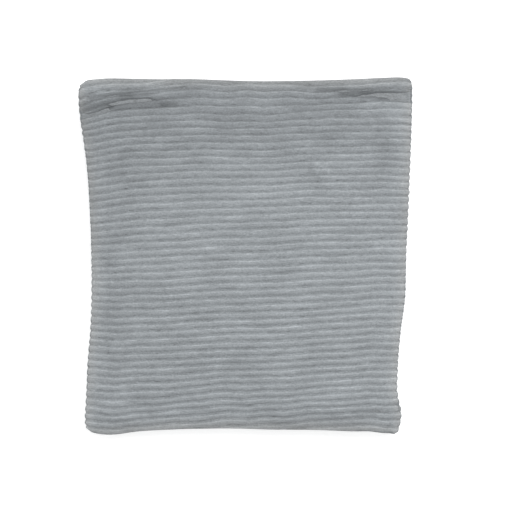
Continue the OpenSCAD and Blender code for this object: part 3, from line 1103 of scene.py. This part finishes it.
class Graph:
    """A Principled material whose nodes are added one by one."""

    def __init__(self, name):
        self.material = bpy.data.materials.new(name)
        self.material.use_nodes = True
        self.tree = self.material.node_tree
        self.shader = self.tree.nodes["Principled BSDF"]

    def feed(self, socket, value):
        if isinstance(value, bpy.types.NodeSocket):
            self.tree.links.new(value, socket)
        else:
            socket.default_value = value

    def add(self, kind, inputs=None, **settings):
        node = self.tree.nodes.new("ShaderNode" + kind)
        for key, value in settings.items():
            setattr(node, key, value)
        for key, value in (inputs or {}).items():
            self.feed(node.inputs[key], value)
        return node

    def math(self, operation, a, b=0.0, c=0.0, clamp=False):
        return self.add("Math", {0: a, 1: b, 2: c}, operation=operation, use_clamp=clamp).outputs[0]

    def place(self, scale=1, rotation=(0, 0, 0)):
        """The piece's own coordinates, turned, and scaled by one number or one for each axis."""
        scale = scale if isinstance(scale, tuple) else (scale,) * 3
        inputs = {"Vector": self.add("TexCoord").outputs["Object"], "Scale": scale, "Rotation": rotation}
        return self.add("Mapping", inputs).outputs[0]

    def wave(self, vector, scale, distortion, detail=2.0, phase=0.0, direction="X"):
        """Bands that run from 0 to 1 and back."""
        inputs = {"Vector": vector, "Scale": scale, "Distortion": distortion, "Detail": detail}
        inputs["Phase Offset"] = phase
        return self.add("TexWave", inputs, bands_direction=direction).outputs["Fac"]

    def noise(self, scale, detail=3.0, roughness=0.55):
        """Noise from 0 to 1, with about scale features to the metre."""
        inputs = {"Vector": self.place(scale), "Scale": 1.0, "Detail": detail, "Roughness": roughness}
        return self.add("TexNoise", inputs).outputs[0]

    def swing(self, value, amount):
        """Turns a value from 0 to 1 into a factor that swings by amount about 1."""
        return self.math("MULTIPLY_ADD", value, 2 * amount, 1 - amount)

    def uneven(self, amount, scale, **detail):
        return self.swing(self.noise(scale, **detail), amount)

    def attribute(self, name):
        return self.add("Attribute", attribute_name=name).outputs["Fac"]

    def blended(self, factor, a, b):
        return self.add("Mix", {0: factor, 6: a, 7: b}, data_type="RGBA").outputs[2]

    def brightness(self, colour, factors):
        """The colour multiplied by every factor."""
        factor = factors[0]
        for other in factors[1:]:
            factor = self.math("MULTIPLY", factor, other)
        return self.add("HueSaturation", {"Value": factor, "Color": colour}).outputs[0]

    def finish(self, colour, bump, distance, strength=1.0, **sockets):
        """The material, with its colour, its bump and other sockets of the shader."""
        bumps = self.add("Bump", {"Strength": strength, "Distance": distance, "Height": bump})
        for key, value in {"Base_Color": colour, "Normal": bumps.outputs[0], **sockets}.items():
            self.feed(self.shader.inputs[key.replace("_", " ")], value)
        return self.material


def make_velour():
    """Wide-rib velour: streaked pile, painted shade in the grooves, a painted highlight on each rib and a
    soft sheen.
    """
    g = Graph("velour")
    warm = g.blended(g.attribute("warm"), (0.275, 0.2935, 0.3075, 1), (0.284, 0.294, 0.299, 1))
    streaks = g.uneven(0.46, (100, 700, 200), detail=4, roughness=0.75)
    speckle = g.uneven(0.38, (400, 720, 500), detail=2)
    patches = g.uneven(0.08, (9, 14, 9), detail=2)
    # Painted shade in the grooves, deeper along some stretches of them than others.
    shut = g.math("MULTIPLY_ADD", g.noise((30, 160, 100), roughness=0.7), -0.56, 0.06)
    painted_groove_shade = g.math("MULTIPLY_ADD", g.math("SUBTRACT", 1.0, g.attribute("rib")), shut, 1.06)
    # Short dark flecks, where the pile parts along the grooves.
    fleck = g.noise((110, 620, 240), roughness=0.65)
    fleck = g.math("MULTIPLY_ADD", fleck, 7.0, -3.9, clamp=True)
    fleck = g.math("MULTIPLY", fleck, g.math("SUBTRACT", 1.15, g.attribute("rib")))
    fleck = g.math("MULTIPLY_ADD", fleck, -0.42, 1.0)
    # The shade attribute: random tone and pile marks, with painted shade and painted light.
    tone_and_painted_light = g.math("ADD", g.attribute("shade"), 1.0)
    # The painted highlight on each rib's upper flank comes and goes.
    broken = g.noise((42, 330, 100), detail=4, roughness=0.75)
    broken = g.math("MULTIPLY_ADD", broken, 3.2, -1.1, clamp=True)
    painted_highlight = g.math("MULTIPLY_ADD", g.math("MULTIPLY", g.attribute("painted_rib_highlight"), broken), 0.46, 1.0)
    colour = g.brightness(warm, [streaks, speckle, patches, painted_groove_shade, fleck, tone_and_painted_light, painted_highlight])
    pile = g.noise((900, 2200, 1500), roughness=0.7)
    return g.finish(colour, pile, 0.0004, 0.5, Roughness=0.92, Sheen_Weight=0.55, Sheen_Roughness=0.38,
                    Sheen_Tint=(0.88, 0.92, 0.95, 1), Specular_IOR_Level=0.2)


def make_velour_ground():
    """The wrong side of the velour: a flat knitted ground, paler than the pile."""
    g = Graph("velour_ground")
    loops = g.wave(g.place(), 260.0, 1.5, detail=1.0)
    rows = g.wave(g.place(), 180.0, 1.0, detail=1.0, direction="Y")
    knit = g.math("MULTIPLY", loops, rows)
    colour = g.brightness((0.30, 0.315, 0.33, 1), [g.swing(knit, 0.12), g.uneven(0.12, 120)])
    return g.finish(colour, knit, 0.0003, 0.6, Roughness=0.85, Sheen_Weight=0.2)


def make_woven(name, colour, fineness, contrast, roughness, sheen, bump=0.0001):
    """A plain weave, a little uneven. fineness is the scale of its threads' bands."""
    g = Graph(name)
    wobble = g.noise(60, detail=2)
    warp = g.wave(g.place((1, 0, 0)), fineness, 0.6, phase=g.math("MULTIPLY", wobble, 2.0))
    weft = g.wave(g.place((0, 1, 0.7)), fineness, 0.6, phase=wobble, direction="Y")
    weave = g.math("MAXIMUM", warp, weft)
    slubs = g.uneven(contrast, (40, 300, 300))
    patches = g.uneven(contrast * 0.5, 18, detail=2)
    shade = g.brightness(colour, [g.swing(weave, contrast * 0.7), slubs, patches])
    return g.finish(shade, weave, bump, 0.7, Roughness=roughness, Sheen_Weight=sheen)


def make_twill():
    """Zip tape: a fine diagonal twill."""
    g = Graph("zip_tape")
    twill = g.wave(g.place(rotation=(0, math.radians(55), 0)), 190.0, 0.8, detail=1.0)
    fuzz = g.uneven(0.14, (900, 900, 1500))
    colour = g.brightness((0.235, 0.255, 0.272, 1), [g.swing(twill, 0.16), fuzz])
    return g.finish(colour, twill, 0.00012, 0.8, Roughness=0.7, Sheen_Weight=0.2)


def make_nylon():
    """Coil wire: smooth, slightly translucent nylon with faint draw lines."""
    g = Graph("zip_coil")
    lines = g.noise((500, 4000, 4000), detail=2)
    colour = g.brightness((0.205, 0.222, 0.24, 1), [g.swing(lines, 0.10), g.uneven(0.08, 40)])
    return g.finish(colour, lines, 0.00002, 0.5, Roughness=0.32, Coat_Weight=0.25, Subsurface_Weight=0.05)


def make_thread():
    """Polyester sewing thread: two plies twisted together."""
    g = Graph("thread")
    plies = g.wave(g.place(rotation=(0.6, 0.4, 0.7)), 700.0, 0.5)
    colour = g.brightness((0.285, 0.305, 0.322, 1), [g.swing(plies, 0.18), g.uneven(0.12, 300)])
    return g.finish(colour, plies, 0.00005, 0.6, Roughness=0.5, Sheen_Weight=0.3)


def make_fibre():
    """Hollow-fibre filling: white, matted and soft."""
    g = Graph("filling")
    strands = g.noise((120, 420, 300), detail=6, roughness=0.75)
    clumps = g.noise(30)
    colour = g.brightness((0.80, 0.80, 0.785, 1), [g.swing(strands, 0.14), g.swing(clumps, 0.10)])
    return g.finish(colour, g.math("ADD", strands, clumps), 0.0012, 0.9, Roughness=0.95, Sheen_Weight=0.4)


def make_nickel():
    """Nickel plate, brushed by use and duller where it has been rubbed."""
    g = Graph("zip_metal")
    brushed = g.noise((3200, 400, 400), roughness=0.7)
    wear = g.noise(420, detail=4, roughness=0.65)
    colour = g.brightness((0.62, 0.605, 0.58, 1), [g.swing(brushed, 0.08), g.swing(wear, 0.10)])
    rough = g.math("MULTIPLY_ADD", wear, 0.28, 0.16)
    return g.finish(colour, brushed, 0.00001, 0.4, Metallic=1.0, Roughness=rough)


# ---- build

velour = make_velour()
velour_ground = make_velour_ground()
ticking = make_woven("casing", (0.76, 0.755, 0.73, 1), 302.4, 0.08, 0.8, 0.15)
satin = make_woven("label", (0.80, 0.80, 0.79, 1), 827.6, 0.06, 0.42, 0.4, 0.00004)
webbing = make_twill()
nylon = make_nylon()
thread = make_thread()
fibre = make_fibre()
nickel = make_nickel()

for word, side in SIDES.items():
    add_panel(word, side)
add_insert()
add_allowances()
add_seam_thread()
add_label()
add_zip()


# ---- floor, light and camera

camera_x = 0.0149
camera_y = -0.0007
camera_h = 2.0
view_w = 0.6938
sensor_w = 0.036
floor_size = 6.0
floor_cells = 10
floor_gap = 0.0003
floor_glow = 0.45


def add_floor():
    """A pale floor that glows a little, so that it is as even as the photograph's background."""
    line = np.linspace(-floor_size / 2, floor_size / 2, floor_cells + 1)
    x, y = np.meshgrid(line, line)
    mesh = mesh_of("floor", xyz(x, y, -floor_gap), quads(np.arange(x.size).reshape(x.shape)))
    g = Graph("floor")
    colour = g.brightness((0.86, 0.86, 0.86, 1), [g.uneven(0.01, 3)])
    material = g.finish(colour, g.noise(60), 0.0002, Roughness=0.9,
                        Emission_Color=(1, 1, 1, 1), Emission_Strength=floor_glow)
    mesh.materials.append(material)
    linked("floor", mesh)


def add_light(name, place, size, power):
    light = bpy.data.lights.new(name, "AREA")
    light.size = size
    light.energy = power
    obj = linked(name, light)
    obj.location = place
    toward = -np.array(place) + (0, 0, seam_z)
    obj.rotation_mode = "QUATERNION"
    obj.rotation_quaternion = Vector(toward).to_track_quat("-Z", "Y")


def add_world(strength):
    world = bpy.data.worlds.new("studio")
    world.use_nodes = True
    background = world.node_tree.nodes["Background"]
    background.inputs["Color"].default_value = (1, 1, 1, 1)
    background.inputs["Strength"].default_value = strength
    bpy.context.scene.world = world


def add_camera():
    data = bpy.data.cameras.new("camera")
    data.sensor_width = sensor_w * 1000
    data.lens = data.sensor_width * (camera_h - seam_z) / view_w
    data.clip_start = 0.1
    data.clip_end = 20
    obj = linked("camera", data)
    obj.location = (camera_x, camera_y, camera_h)
    bpy.context.scene.camera = obj


add_floor()
add_world(0.55)
add_light("key", (0.5, 0.9, 2.3), 1.0, 34)
add_light("overhead", (-0.2, -0.1, 2.6), 2.0, 14)
add_camera()
bpy.context.scene.view_settings.view_transform = "Standard"
